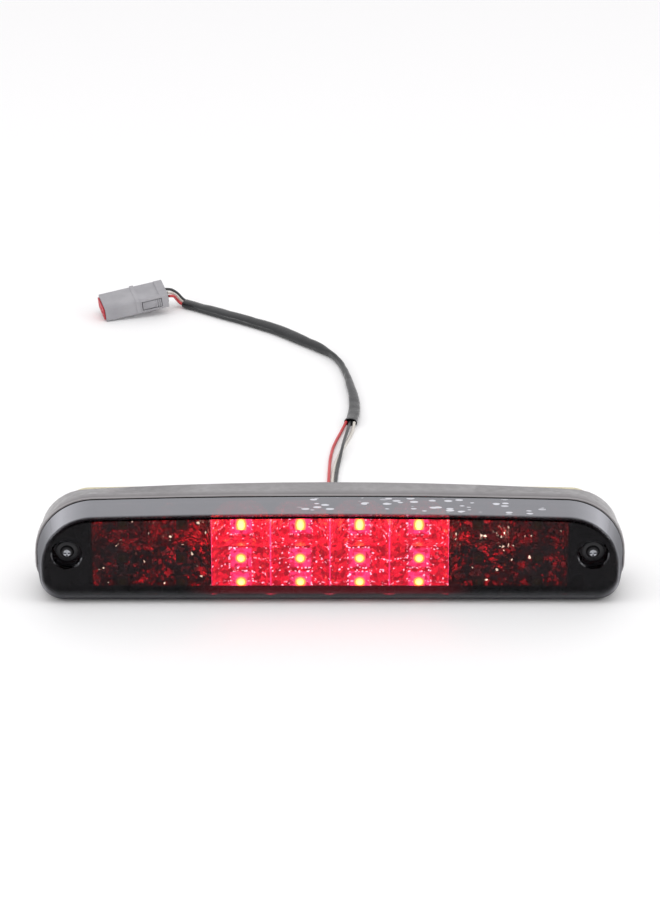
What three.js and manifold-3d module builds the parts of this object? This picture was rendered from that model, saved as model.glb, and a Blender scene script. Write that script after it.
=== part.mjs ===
// Third brake light of a pickup cab: a smoked lens over twelve red brake LEDs and twelve
// cargo LEDs, a moulded housing with a foam gasket, and a three-wire harness with its plug.
// Millimetres. X runs across the lamp, +Y towards the cab, +Z up. The lamp stands on its
// flat underside, and the origin lies under the middle of its box, without the harness.
import * as THREE from 'three';
import { mergeVertices } from 'three/addons/utils/BufferGeometryUtils.js';
import Module from 'manifold-3d';

const wasm = await Module();
wasm.setup();

// ---------- driving dimensions ----------
const lampWidth = 390;
const lampHeight = 68;
const lensDepth = 24;
const lensWall = 2.4;
const lensSideTaper = 4; // the lens narrows by this much towards its front, each side
const lensTopTaper = 2.6;
const frontRound = 2.5; // small round along the top and the ends of the lens face
const chinRound = 11; // large round along the bottom of the lens face
const archRadius = 5000; // the top edge is a very flat arch
const shoulderRadius = 40; // upper corners at the joint line
const heelRadius = 18; // lower corners at the joint line

const jointGap = 1.4; // lens to housing, filled by the sealing bead
const beadInset = 1.2;
const beadWidth = 2;
const flangeDepth = 7;
const flangeStep = 1.1;
const flangeProud = 1.2; // at each end, outside the lens
const shellDepth = 18;
const shellTaper = 1.6; // at each end
const shellTopTaper = 0.7;
const shellArch = 2500; // the housing drops off more than the lens towards its back corners
const shellShoulder = 32;
const housingWall = 2.4;
const backRound = 2;

const gasketThickness = 3;
const gasketWidth = 9.5;
const gasketEnd = 19; // from the end of the lamp to the foam
const gasketDrop = 2.9; // from the top of the back to the foam
const gasketBottom = 3;
const gasketArchRadius = 6000;
const gasketCorner = 16;

const brakeCells = 4;
const cargoCells = 2; // on each side
const allCells = brakeCells + 2 * cargoCells;
const endLength = 39; // from the end of the lamp to its first cell
const cellPitch = (lampWidth - 2 * endLength) / allCells;
const stripWidth = 13.6; // flat strip that carries the LEDs of one cell
const lowerFloor = 10; // depth of the lower strips behind the lens face
const upperFloor = lensDepth; // depth of the top strips, which stand back by a tread
const ridgeDepth = 5.2; // depth of the ridges between the cells
const reflectorWall = 1.5;
const lowestRow = 12.4; // height of the bottom row of LEDs
const rowPitch = (lampHeight - 15.8) / 3;
const ledRows = [0, 1, 2].map((row) => lowestRow + row * rowPitch);
const treadHeight = lowestRow + 1.5 * rowPitch; // ledge between the middle and the top row
const betweenRows = lowestRow + 0.5 * rowPitch;
const reflectorBottom = 4.2;
const reflectorTop = lampHeight - 3; // cut back to the lens where it arches down
const boardTop = lampHeight - 10.5;
const ledBody = 7.6;
const ledThickness = 3;
const ledDomeRadius = 2.4;
const ledProud = 1; // how far the LED stands out of its strip
const boardThickness = 1.6;

const bezelDepth = 3; // front of the black bezel behind the lens face
const bezelWall = 1.5;
const bezelBottomBar = 5.5; // from the bezel's lower edge to the window
const bezelTopBar = 1.2;

const wellInset = 22.8; // from the end of the lamp to the mounting screw
const wellHeight = lampHeight - 31.4;
const wellRadius = 9.5;
const wellWall = 1.6;
const wellDepth = 6.5; // seat of the screw head behind the lens face
const wellFloor = 2;
const screwRadius = 2.4;
const screwHeadRadius = 4.6;
const screwHeadHeight = 3.4;
const screwTail = 9.6; // screw tip behind the back of the housing
const spacerRadius = 4;
const bossRadius = 7.2;

const boardScrewRadius = 1.3;
const boardScrewGrip = 8; // thread behind the board
const pinRadius = 3.2; // locating pins on the back plate
const pinLength = 6;
const pinHeight = 18;
const ribHeight = 1.8;
const ribThickness = 2;

const grommetHeight = 22;
const grommetHole = 6;
const grommetFlange = 9;
const grommetTail = 4.4;
const grommetLength = 6.6; // behind the back of the housing
const breatherRadius = 3;
const breatherFlange = 5;
const breatherTail = 2.4;
const breatherLength = 3.6;

const wireDiameter = 2.2;
const wirePitch = 2.7;
const sleeveWidth = 10;
const sleeveThickness = 6.4;

const plugLength = 50;
const plugWidth = 23;
const plugHeight = 12.5;
const plugWall = 2.2;
const plugChamfer = 1.2;
const plugRoll = THREE.MathUtils.degToRad(8); // it lies tilted on its clip rail
const plugPitch = THREE.MathUtils.degToRad(8);
const plugYaw = THREE.MathUtils.degToRad(195);

const gap = 0.3; // between pieces that touch

// ---------- depths, counted back from the lens face ----------
const housingFront = lensDepth + jointGap;
const flangeBack = housingFront + flangeDepth;
const housingBack = flangeBack + shellDepth;
const grommetEnd = housingBack + grommetLength;
const screwReach = housingBack + screwTail;
const lampDepth = Math.max(screwReach, grommetEnd);
const faceY = -lampDepth / 2;
const screwX = lampWidth / 2 - wellInset;

// ---------- helpers ----------
function finish(name, solid, material) {
  const { vertProperties, triVerts } = solid.getMesh();
  const geometry = new THREE.BufferGeometry();
  geometry.setAttribute('position', new THREE.BufferAttribute(vertProperties, 3));
  geometry.setIndex(new THREE.BufferAttribute(triVerts, 1));
  const mesh = new THREE.Mesh(geometry, material);
  mesh.name = name;
  return mesh;
}

function solidOf(geometry) {
  geometry.deleteAttribute('normal');
  geometry.deleteAttribute('uv');
  const merged = mergeVertices(geometry, 1e-4);
  return new wasm.Manifold(new wasm.Mesh({
    numProp: 3,
    vertProperties: new Float32Array(merged.attributes.position.array),
    triVerts: new Uint32Array(merged.index.array),
  }));
}

function paint(color, roughness, metalness = 0) {
  return new THREE.MeshStandardMaterial({ color, roughness, metalness });
}

// Lamp outline in X and Z: flat bottom, round heels and shoulders, a flat arch on top.
function lampOutline({ half, top, bottom = 0, arch = archRadius, shoulder, heel }) {
  const archCentre = top - arch;
  const shoulderX = half - shoulder;
  const shoulderZ = archCentre + Math.sqrt((arch - shoulder) ** 2 - shoulderX ** 2);
  const turn = Math.atan2(shoulderZ - archCentre, shoulderX);
  const shape = new THREE.Shape();
  shape.moveTo(heel - half, bottom);
  shape.lineTo(half - heel, bottom);
  shape.absarc(half - heel, bottom + heel, heel, -Math.PI / 2, 0);
  shape.absarc(shoulderX, shoulderZ, shoulder, 0, turn);
  shape.absarc(0, archCentre, arch, turn, Math.PI - turn);
  shape.absarc(-shoulderX, shoulderZ, shoulder, Math.PI - turn, Math.PI);
  shape.absarc(heel - half, bottom + heel, heel, Math.PI, 1.5 * Math.PI);
  return shape;
}

// The outline's points, once each, so that every outline has the same number of them.
function outlinePoints(size) {
  const points = lampOutline(size).getPoints(5);
  return points.filter((point, i) => point.distanceTo(points.at(i - 1)) > 1e-3);
}

// Solid through outlines of the same kind, each at its own depth behind the lens face.
function loft(sections) {
  const rings = sections.map(({ depth, ...size }) => (
    outlinePoints(size).map((point) => [point.x, faceY + depth, point.y])
  ));
  const count = rings[0].length;
  const index = [];
  for (let r = 0; r < rings.length - 1; r += 1) {
    for (let i = 0; i < count; i += 1) {
      const front = r * count + i;
      const next = r * count + ((i + 1) % count);
      index.push(front, front + count, next, next, front + count, next + count);
    }
  }
  const flat = rings[0].map(([x, , z]) => new THREE.Vector2(x, z));
  const last = (rings.length - 1) * count;
  for (const [a, b, c] of THREE.ShapeUtils.triangulateShape(flat, [])) {
    index.push(a, b, c, last + a, last + c, last + b);
  }
  const geometry = new THREE.BufferGeometry();
  geometry.setAttribute('position', new THREE.Float32BufferAttribute(rings.flat(2), 3));
  geometry.setIndex(index);
  return solidOf(geometry);
}

function box(left, right, front, back, low, high) {
  const geometry = new THREE.BoxGeometry(right - left, back - front, high - low);
  geometry.translate((left + right) / 2, (front + back) / 2, (low + high) / 2);
  return solidOf(geometry);
}

// Box inside the lamp, its front and back counted from the lens face.
function block(left, right, front, back, low, high) {
  return box(left, right, faceY + front, faceY + back, low, high);
}

function rod(radius, x, z, front, back, sides = 24, frontRadius = radius) {
  const geometry = new THREE.CylinderGeometry(radius, frontRadius, back - front, sides);
  geometry.translate(x, faceY + (front + back) / 2, z);
  return solidOf(geometry);
}

// Turned piece on an axis along Y; the profile is [radius, depth] pairs from axis to axis.
function turned(profile, x, z, sides = 24) {
  const points = profile.map(([radius, depth]) => new THREE.Vector2(radius, depth));
  const geometry = new THREE.LatheGeometry(points, sides);
  geometry.translate(x, faceY, z);
  return solidOf(geometry);
}

const lamp = new THREE.Group();
const sides = { left: -1, right: 1 };

// ---------- lens ----------
const seamSection = {
  half: lampWidth / 2 - flangeProud,
  top: lampHeight,
  shoulder: shoulderRadius,
  heel: heelRadius,
};

// Lens outline at a depth: a straight draft, and the rounds that run into the face.
function lensSection(depth, wall = 0) {
  const forward = 1 - Math.max(depth, 0) / lensDepth;
  const rounded = (radius) => (depth >= radius
    ? 0 : radius - Math.sqrt(radius ** 2 - (radius - depth) ** 2));
  const side = lensSideTaper * forward + rounded(frontRound);
  return {
    half: seamSection.half - side - wall,
    top: seamSection.top - lensTopTaper * forward - rounded(frontRound) - wall,
    bottom: rounded(chinRound) + wall,
    shoulder: shoulderRadius - side - wall,
    heel: heelRadius - side * 0.6 - rounded(chinRound) * 0.35 - wall,
  };
}

const lensStations = [0, 0.3, 0.9, 1.7, frontRound, 4.5, 7, chinRound, lensDepth];
const lensOuter = loft(lensStations.map((depth) => ({ depth, ...lensSection(depth) })));
const lensInner = loft([lensWall, 4.5, 7, chinRound, lensDepth].map((depth) => ({
  depth, ...lensSection(depth, lensWall),
})).concat({ depth: lensDepth + 1, ...lensSection(lensDepth, lensWall) }));
let lens = lensOuter.subtract(lensInner);
const wellBack = wellDepth + wellFloor;
for (const side of Object.values(sides)) {
  const x = side * screwX;
  lens = lens
    .add(rod(wellRadius + wellWall, x, wellHeight, lensWall / 2, wellBack, 40))
    .subtract(rod(wellRadius, x, wellHeight, -1, wellDepth, 40))
    .subtract(rod(screwRadius + 0.6, x, wellHeight, 0, wellBack + 1));
}
lamp.add(finish('lens', lens, paint(0x5b5c63, 0.08)));

// ---------- sealing bead ----------
function inset(section, amount) {
  return {
    ...section,
    half: section.half - amount,
    top: section.top - amount,
    bottom: (section.bottom ?? 0) + amount,
    shoulder: section.shoulder - amount,
    heel: section.heel - amount,
  };
}

const beadFront = lensDepth + gap;
const beadBack = housingFront - gap;
const beadOuter = inset(seamSection, beadInset);
const beadInner = inset(seamSection, beadInset + beadWidth);
const bead = loft([{ depth: beadFront, ...beadOuter }, { depth: beadBack, ...beadOuter }])
  .subtract(loft([
    { depth: beadFront - 1, ...beadInner }, { depth: beadBack + 1, ...beadInner },
  ]));
lamp.add(finish('sealing_bead', bead, paint(0x17171a, 0.7)));

// ---------- housing ----------
const flangeSection = { ...seamSection, half: lampWidth / 2 };
const shellFront = {
  ...flangeSection,
  half: flangeSection.half - flangeStep,
  top: flangeSection.top - flangeStep,
  shoulder: shoulderRadius - flangeStep,
};
const shellBack = {
  ...shellFront,
  half: shellFront.half - shellTaper,
  top: shellFront.top - shellTopTaper,
  arch: shellArch,
  shoulder: shellShoulder,
};
const backRim = inset(shellBack, backRound * 0.7);
const gasketTop = backRim.top - gasketDrop;
const innerFront = inset(seamSection, housingWall + flangeStep);
const innerBack = inset(shellBack, housingWall);
const plateFront = housingBack - housingWall;
let housing = loft([
  { depth: housingFront, ...inset(flangeSection, 0.4), bottom: 0 },
  { depth: housingFront + 0.5, ...flangeSection },
  { depth: flangeBack, ...flangeSection },
  { depth: flangeBack + 0.4, ...shellFront },
  { depth: housingBack - backRound, ...shellBack },
  { depth: housingBack, ...backRim },
]).subtract(loft([
  { depth: housingFront - 1, ...innerFront },
  { depth: flangeBack, ...innerFront },
  { depth: plateFront, ...innerBack },
]));

const bossFront = wellBack + gap;
for (const side of Object.values(sides)) {
  housing = housing
    .add(rod(bossRadius, side * screwX, wellHeight, bossFront, plateFront + 1))
    .subtract(rod(spacerRadius + gap, side * screwX, wellHeight, 0, housingBack + 1));
}

// Posts behind the two LED boards, each with a pilot hole for its screw.
const lowerBoardFront = lowerFloor - ledProud + ledThickness + gap;
const upperBoardFront = upperFloor - ledProud + ledThickness + gap;
const brakeHalf = (brakeCells / 2) * cellPitch;
const boardScrews = [
  { name: 'board_screw_left', x: -brakeHalf, z: betweenRows, face: lowerBoardFront },
  { name: 'board_screw_right', x: brakeHalf, z: betweenRows, face: lowerBoardFront },
  { name: 'board_screw_top', x: 0, z: ledRows[2], face: upperBoardFront },
];
for (const { x, z, face } of boardScrews) {
  const postFront = face + boardThickness + gap;
  housing = housing
    .add(rod(4.4, x, z, postFront, plateFront + 1, 20, 2.8))
    .subtract(rod(boardScrewRadius + gap, x, z, postFront - 1, postFront + boardScrewGrip + 1, 16));
}

// Back plate: harness hole, breather hole, stiffening ribs and two locating pins.
const breatherX = 1.6 * cellPitch;
const ribBack = housingBack + ribHeight;
const ribLow = 26;
const ribTop = gasketTop - gasketWidth - 6;
const ribMiddle = (ribLow + ribTop) / 2;
housing = housing
  .subtract(rod(grommetHole, 0, grommetHeight, plateFront - 1, housingBack + 1))
  .subtract(rod(breatherRadius, breatherX, grommetHeight, plateFront - 1, housingBack + 1));
for (const side of Object.values(sides)) {
  const x = side * 3 * cellPitch;
  housing = housing.add(rod(pinRadius, x, pinHeight, plateFront, housingBack + pinLength, 20));
}
const rib = ribThickness / 2;
for (const place of [-3.6, -2.45, -1.35, -0.65, 0.65, 2.45, 3.6]) {
  const x = place * cellPitch;
  housing = housing.add(block(x - rib, x + rib, plateFront, ribBack, ribLow, ribTop));
}
const longRib = 3.6 * cellPitch + rib;
housing = housing
  .add(block(-longRib, longRib, plateFront, ribBack, ribMiddle - rib, ribMiddle + rib));
lamp.add(finish('housing', housing, paint(0x2b2b2e, 0.45)));

// ---------- foam gasket ----------
const gasketOuter = {
  half: lampWidth / 2 - gasketEnd,
  top: gasketTop,
  bottom: gasketBottom,
  arch: gasketArchRadius,
  shoulder: gasketCorner,
  heel: gasketCorner,
};
const gasketInner = inset(gasketOuter, gasketWidth);
const gasketFront = housingBack + gap;
const gasketBack = gasketFront + gasketThickness;
let gasket = loft([
  { depth: gasketFront, ...gasketOuter }, { depth: gasketBack, ...gasketOuter },
]).subtract(loft([
  { depth: gasketFront - 1, ...gasketInner }, { depth: gasketBack + 1, ...gasketInner },
]));
for (const side of Object.values(sides)) {
  const hole = rod(screwRadius + 0.5, side * screwX, wellHeight, housingBack, gasketBack + 1);
  gasket = gasket.subtract(hole);
}
lamp.add(finish('foam_gasket', gasket, paint(0xd2c79c, 0.95)));

// ---------- black bezel ----------
const bezelSection = inset(lensSection(bezelDepth + bezelWall, lensWall), 0.6);
bezelSection.bottom = Math.max(bezelSection.bottom, lensSection(bezelDepth).bottom + lensWall + 0.8);
const windowHalf = (allCells / 2) * cellPitch + 1;
const windowLow = bezelSection.bottom + bezelBottomBar;
const windowSection = inset(bezelSection, bezelTopBar);
const windowCut = loft([
  { depth: bezelDepth - 1, ...windowSection }, { depth: lensDepth, ...windowSection },
]).intersect(block(-windowHalf, windowHalf, 0, lensDepth, windowLow, lampHeight));
let bezel = loft([
  { depth: bezelDepth, ...bezelSection }, { depth: bezelDepth + bezelWall, ...bezelSection },
]).subtract(windowCut);
for (const side of Object.values(sides)) {
  bezel = bezel.subtract(
    rod(wellRadius + wellWall + 0.4, side * screwX, wellHeight, 0, lensDepth, 40),
  );
}
lamp.add(finish('bezel', bezel, paint(0x0d0d0e, 0.2)));

// ---------- reflectors ----------
const trayFront = bezelDepth + bezelWall + gap;

// Room inside the lens and the front of the housing, which the trays fill up to the arch.
const behindBead = lensSection(lensDepth, beadInset + beadWidth + 0.8);
const interior = loft([lensWall, 4.5, 7, chinRound, lensDepth - 2].map((depth) => ({
  depth, ...lensSection(depth, lensWall + 0.5),
})).concat([
  { depth: lensDepth, ...behindBead }, { depth: lensDepth + 12, ...behindBead },
]));

// One row of troughs in plan: [x, depth] points along the face, from left to right.
function troughFace(first, cells, floor) {
  const points = [];
  const wing = (cellPitch - stripWidth) / 2;
  const rise = floor - ridgeDepth;
  for (let cell = 0; cell < cells; cell += 1) {
    const left = first + cell * cellPitch;
    const right = left + cellPitch;
    const bend = [[0, 0], [0.3, 0.52], [0.62, 0.84], [1, 1]];
    points.push(...bend.map(([u, v]) => [left + u * wing, ridgeDepth + v * rise]));
    points.push(...bend.reverse().map(([u, v]) => [right - u * wing, ridgeDepth + v * rise]));
  }
  return points.filter(([x], i) => i === 0 || x - points[i - 1][0] > 0.01);
}

function planSolid(points, low, high) {
  const shape = new THREE.Shape(points.map(([x, depth]) => new THREE.Vector2(x, faceY + depth)));
  const geometry = new THREE.ExtrudeGeometry(shape, { depth: high - low, bevelEnabled: false });
  geometry.translate(0, 0, low);
  return solidOf(geometry);
}

function trayWall(face) {
  return face.concat([...face].reverse().map(([x, depth]) => [x, depth + reflectorWall]));
}

function reflectorTray(firstCell, cells) {
  const left = firstCell * cellPitch;
  const low = left + gap / 2;
  const high = left + cells * cellPitch - gap / 2;
  const face = (floor) => troughFace(left, cells, floor)
    .map(([x, depth]) => [THREE.MathUtils.clamp(x, low, high), depth]);
  const lower = face(lowerFloor);
  const upper = face(upperFloor);
  let tray = planSolid(trayWall(lower), reflectorBottom, treadHeight)
    .add(planSolid(trayWall(upper), treadHeight - reflectorWall, reflectorTop))
    .add(planSolid(
      lower.concat([...upper].reverse().map(([x, depth]) => [x, depth + reflectorWall])),
      treadHeight - reflectorWall,
      treadHeight,
    ))
    .intersect(interior);
  for (let cell = 0; cell < cells; cell += 1) {
    const x = (firstCell + cell + 0.5) * cellPitch;
    for (const z of ledRows) {
      const hole = ledBody / 2 + 0.4;
      tray = tray.subtract(block(x - hole, x + hole, 0, lensDepth + 8, z - hole, z + hole));
    }
  }
  return tray;
}

const trays = [
  { name: 'brake', first: -brakeCells / 2, cells: brakeCells },
  { name: 'cargo_left', first: -allCells / 2, cells: cargoCells },
  { name: 'cargo_right', first: brakeCells / 2, cells: cargoCells },
];
for (const { name, first, cells } of trays) {
  const chrome = paint(0xc9cbd0, 0.15, 1);
  lamp.add(finish(`reflector_${name}`, reflectorTray(first, cells), chrome));
}

// ---------- LEDs: a square body with a round dome, three to each cell ----------
function led(x, z, floor) {
  const front = floor - ledProud;
  const h = ledBody / 2;
  const dome = [[0, front - 1.6], [1.2, front - 1.4], [2.1, front - 0.7], [ledDomeRadius, front],
    [ledDomeRadius, front + 1], [0, front + 1]];
  return block(x - h, x + h, front, front + ledThickness, z - h, z + h).add(turned(dome, x, z, 12));
}

const ledCount = { brake: 0, cargo: 0 };
for (let cell = 0; cell < allCells; cell += 1) {
  const x = (cell - allCells / 2 + 0.5) * cellPitch;
  const use = cell >= cargoCells && cell < cargoCells + brakeCells ? 'brake' : 'cargo';
  for (const z of ledRows) {
    ledCount[use] += 1;
    const floor = z > treadHeight ? upperFloor : lowerFloor;
    const material = paint(use === 'brake' ? 0xff3040 : 0xf4f1de, 0.2);
    lamp.add(finish(`${use}_led_${ledCount[use]}`, led(x, z, floor), material));
  }
}

// ---------- LED boards with their ballast resistors and screws ----------
const boardHalf = (allCells * cellPitch) / 2 - 3;
const lowerBoardTop = treadHeight - 2.2;
const boards = [
  { name: 'lower', face: lowerBoardFront, low: reflectorBottom + 1, high: lowerBoardTop },
  { name: 'upper', face: upperBoardFront, low: treadHeight + 0.6, high: boardTop },
];
for (const { name, face, low, high } of boards) {
  let board = block(-boardHalf, boardHalf, face, face + boardThickness, low, high);
  for (const { x, z } of boardScrews.filter((screw) => screw.face === face)) {
    board = board.subtract(rod(boardScrewRadius + gap, x, z, 0, plateFront, 16));
  }
  lamp.add(finish(`led_board_${name}`, board, paint(0x1f5a38, 0.5)));
}

const boardScrewHead = 2.3;
for (const { name, x, z, face } of boardScrews) {
  const seat = face - gap;
  const headFront = seat - 1.7;
  const tip = face + boardThickness + boardScrewGrip;
  const profile = [[0, headFront], [boardScrewHead - 0.9, headFront],
    [boardScrewHead, headFront + 0.7], [boardScrewHead, seat], [boardScrewRadius, seat],
    [boardScrewRadius, tip - 1], [0, tip]];
  lamp.add(finish(name, turned(profile, x, z, 16), paint(0xb9bcc2, 0.3, 1)));
}

const resistorRadius = 1.9; // at its two end caps
const lowerBoardBack = lowerBoardFront + boardThickness;
[-1, 1].forEach((side, i) => {
  const across = [[0, -4.6], [1.5, -4.6], [resistorRadius, -3.8], [resistorRadius, -2.6], [1.5, -2],
    [1.5, 2], [resistorRadius, 2.6], [resistorRadius, 3.8], [1.5, 4.6], [0, 4.6]];
  const geometry = new THREE.LatheGeometry(across.map(([r, y]) => new THREE.Vector2(r, y)), 14);
  geometry.rotateZ(Math.PI / 2);
  const y = faceY + lowerBoardBack + gap + resistorRadius;
  geometry.translate(side * 0.9 * cellPitch, y, betweenRows);
  lamp.add(finish(`ballast_resistor_${i + 1}`, solidOf(geometry), paint(0xc9b48a, 0.5)));
});

// Ribbon that carries the supply from the lower board up and back to the upper one.
const ribbonFront = lowerBoardBack + gap;
const ribbonBack = upperBoardFront + boardThickness + gap;
const ribbonSheet = 0.9;
const ribbonLeft = 14;
const ribbonRight = 24;
const ribbonFold = lowerBoardTop - 3;
const ribbonEnd = ribbonBack + ribbonSheet;
const ribbon = block(
  ribbonLeft, ribbonRight, ribbonFront, ribbonFront + ribbonSheet, ribbonFold - 7, ribbonFold,
).add(block(
  ribbonLeft, ribbonRight, ribbonFront, ribbonEnd, ribbonFold - ribbonSheet, ribbonFold,
)).add(block(
  ribbonLeft, ribbonRight, ribbonBack, ribbonEnd, ribbonFold - ribbonSheet, treadHeight + 7.5,
));
lamp.add(finish('board_ribbon', ribbon, paint(0xd8d8d2, 0.6)));

// ---------- mounting screws with their steel spacers ----------
const screwFlange = 7;
const recessLong = 2.3; // half the length of one arm of the cross recess
const recessWide = 0.55;
for (const [label, side] of Object.entries(sides)) {
  const x = side * screwX;
  const seat = wellDepth - gap;
  const headFront = seat - screwHeadHeight;
  const spacer = rod(spacerRadius, x, wellHeight, wellBack + gap, housingBack)
    .subtract(rod(screwRadius + gap, x, wellHeight, 0, housingBack + 1));
  lamp.add(finish(`screw_spacer_${label}`, spacer, paint(0xa9abb0, 0.35, 1)));
  const profile = [[0, headFront], [2, headFront + 0.1], [screwHeadRadius - 1.2, headFront + 0.7],
    [screwHeadRadius - 0.3, headFront + 1.7], [screwHeadRadius, seat - 0.9],
    [screwFlange, seat - 0.8], [screwFlange, seat], [screwRadius, seat],
    [screwRadius, screwReach - 5], [0, screwReach]];
  const recess = [[recessLong, recessWide], [recessWide, recessLong]].map(([across, up]) => (
    block(x - across, x + across, 0, headFront + 1.8, wellHeight - up, wellHeight + up)
  ));
  const screw = turned(profile, x, wellHeight).subtract(recess[0]).subtract(recess[1]);
  lamp.add(finish(`mounting_screw_${label}`, screw, paint(0x3a3a3d, 0.35, 1)));
}

// ---------- breather plug and harness grommet in the back plate ----------
function snapPlug(hole, flange, x, end, tail) {
  const neck = hole - gap;
  const inside = plateFront - gap;
  const outside = housingBack + gap;
  return turned([[0, inside - 1.6], [neck + 0.9, inside - 1.6], [neck + 1.4, inside],
    [neck, inside], [neck, outside], [flange, outside], [flange, outside + 1.6],
    [tail + 0.9, outside + 2.2], [tail, end], [0, end]], x, grommetHeight);
}

lamp.add(finish(
  'breather_plug',
  snapPlug(breatherRadius, breatherFlange, breatherX, housingBack + breatherLength, breatherTail),
  paint(0x77797d, 0.7),
));
lamp.add(finish(
  'harness_grommet',
  snapPlug(grommetHole, grommetFlange, 0, grommetEnd, grommetTail),
  paint(0x18181a, 0.75),
));

// ---------- wiring harness ----------
// Each wire leaves the grommet straight, drops behind the lamp and lies on the floor.
function tube(name, points, section, steps, material) {
  const path = new THREE.CatmullRomCurve3(points.map((point) => new THREE.Vector3(...point)));
  const geometry = new THREE.ExtrudeGeometry(section, {
    steps, bevelEnabled: false, extrudePath: path,
  });
  lamp.add(finish(name, solidOf(geometry), material));
}

function ellipse(first, second, count) {
  return new THREE.Shape(Array.from({ length: count }, (_, i) => {
    const angle = (i / count) * 2 * Math.PI;
    return new THREE.Vector2((first / 2) * Math.cos(angle), (second / 2) * Math.sin(angle));
  }));
}

const exitY = faceY + grommetEnd + gap;
const wireZ = wireDiameter / 2 + 0.15;
const sleeveZ = sleeveThickness / 2 + 0.05;
const wireSection = ellipse(wireDiameter, wireDiameter, 8);

// Sleeve route on the floor, from the lamp's end to the plug's end.
const sleeveRoute = [
  [15, 247], [17, 260], [18, 277], [17.2, 296], [15, 314], [12.4, 332], [8.5, 350], [2, 366],
  [-8, 380], [-21, 394], [-38, 412], [-58, 428], [-78, 442], [-96, 454.5], [-113, 466],
].map(([x, y]) => [x, y, sleeveZ]);
const sleeveSection = ellipse(sleeveThickness, sleeveWidth, 12);
tube('harness_sleeve', sleeveRoute, sleeveSection, 16, paint(0x2c2d31, 0.4));

// Wires between the grommet and the sleeve. The white one passes under the black one.
const drop = [[0, grommetHeight], [7, 21.2], [15, 18.6], [25, 13.8], [36, 8.8], [48, 5], [60, 2.8],
  [72, wireZ + 0.4], [84, wireZ]];
const lampWires = [
  {
    name: 'red', place: -1,
    floor: [[-2.4, 122], [-1.2, 146], [-0.6, 168], [0.2, 188], [2, 206], [4.9, 221], [8.2, 235]],
    mouth: [[10.7, 243.4, 2.6], [11.6, 247, sleeveZ]],
  },
  {
    name: 'white', place: 0,
    floor: [[0.4, 122], [1.4, 146], [2.4, 168], [4.2, 184], [6.8, 197], [9.9, 210], [13.2, 222]],
    mouth: [[15.9, 234, wireZ], [17.2, 242.4, 2.4], [17.6, 246, sleeveZ]],
  },
  {
    name: 'black', place: 1,
    floor: [[3, 122], [3.9, 146], [5, 168]],
    mouth: [[6.8, 186, 1.9], [8.2, 198, 3.2], [9.6, 210, 3.7], [11.2, 222, 3.6], [13, 235, 3.4],
      [14.6, 246.5, sleeveZ]],
  },
];
const wirePaint = {
  red: paint(0xcc3a3f, 0.45), white: paint(0xd9d4c6, 0.5), black: paint(0x3c3d40, 0.45),
};
for (const { name, place, floor, mouth } of lampWires) {
  const exitX = place * wirePitch;
  const reach = floor[0][1] - exitY;
  const hidden = drop.map(([back, z]) => [
    exitX + (floor[0][0] - exitX) * (back / reach), exitY + back, z,
  ]);
  const route = [...hidden, ...floor.map(([x, y]) => [x, y, wireZ]), ...mouth];
  tube(`wire_${name}_lamp_end`, route, wireSection, 36, wirePaint[name]);
}

// Wires between the sleeve and the plug.
const plugWires = {
  red: [[-115.2, 463.9, 3.25], [-117.8, 465, 4.6], [-120, 462.4, 8.6], [-121.6, 457.6, 12.6],
    [-125.1, 454.3, 14.2]],
  white: [[-113.7, 466.5, 3.25], [-116.5, 467.6, 4.8], [-119.4, 465.9, 9.2], [-122.6, 461.8, 13.4],
    [-126.6, 459.4, 14.9]],
  black: [[-112, 469, 3.25], [-115.2, 470.8, 5], [-119.2, 470.1, 9.8], [-123.6, 466.8, 14.2],
    [-128.1, 464.6, 15.6]],
};
for (const [name, route] of Object.entries(plugWires)) {
  tube(`wire_${name}_plug_end`, route, wireSection, 7, wirePaint[name]);
}

// ---------- plug, in its own frame ----------
// X runs from the wires to the mouth, +Y is the side of the latch, +Z is the top.
const plug = new THREE.Group();
const half = plugWidth / 2;
const plugLift = plugLength * Math.sin(plugPitch)
  + (half - plugChamfer) * Math.sin(plugRoll) * Math.cos(plugPitch) + 0.02;
plug.position.set(-127.7, 460, plugLift);
plug.rotation.set(-plugRoll, plugPitch, plugYaw, 'ZYX');
lamp.add(plug);

const coreHalf = half - plugWall;
const coreLow = plugWall;
const coreHigh = plugHeight - plugWall - 0.6;
const bridgeX = plugLength * 0.43; // where the hollow of the mouth ends

// Bar along X with chamfered edges.
function bar(left, right, halfWidth, low, high, chamfer) {
  const shape = new THREE.Shape();
  shape.moveTo(-halfWidth + chamfer, low);
  shape.lineTo(halfWidth - chamfer, low);
  shape.lineTo(halfWidth, low + chamfer);
  shape.lineTo(halfWidth, high - chamfer);
  shape.lineTo(halfWidth - chamfer, high);
  shape.lineTo(-halfWidth + chamfer, high);
  shape.lineTo(-halfWidth, high - chamfer);
  shape.lineTo(-halfWidth, low + chamfer);
  const geometry = new THREE.ExtrudeGeometry(shape, { depth: right - left, bevelEnabled: false });
  geometry.rotateX(Math.PI / 2);
  geometry.rotateZ(Math.PI / 2);
  geometry.translate(left, 0, 0);
  return solidOf(geometry);
}

const latchFront = bridgeX - 1.2;
const latchBack = 5.6;
const latchLow = 3;
const latchHigh = plugHeight - 3;
const latchThickness = 1.8;
const latchTravel = 2.2;
const latchFace = half - 0.3;
const latchInner = latchFace - latchThickness;
const latchClear = 0.7;
const railInner = 4; // clip rail under the plug, off its middle
const railWidth = 6;
const railStart = 3;
const railEnd = 15;
const railHeight = (plugLift - railEnd * Math.sin(plugPitch))
  / (Math.cos(plugPitch) * Math.cos(plugRoll)) + (railInner * Math.tan(plugRoll)) - 0.02;
const pinPitch = 5.4;
const pinRows = [-pinPitch, 0, pinPitch];
const pocketHalf = 8; // pocket of the wire seal
const pocketLow = 2.6;
const pocketHigh = 9.8;
const pocketDepth = 4;
const wireHoleZ = (pocketLow + pocketHigh) / 2;

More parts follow.
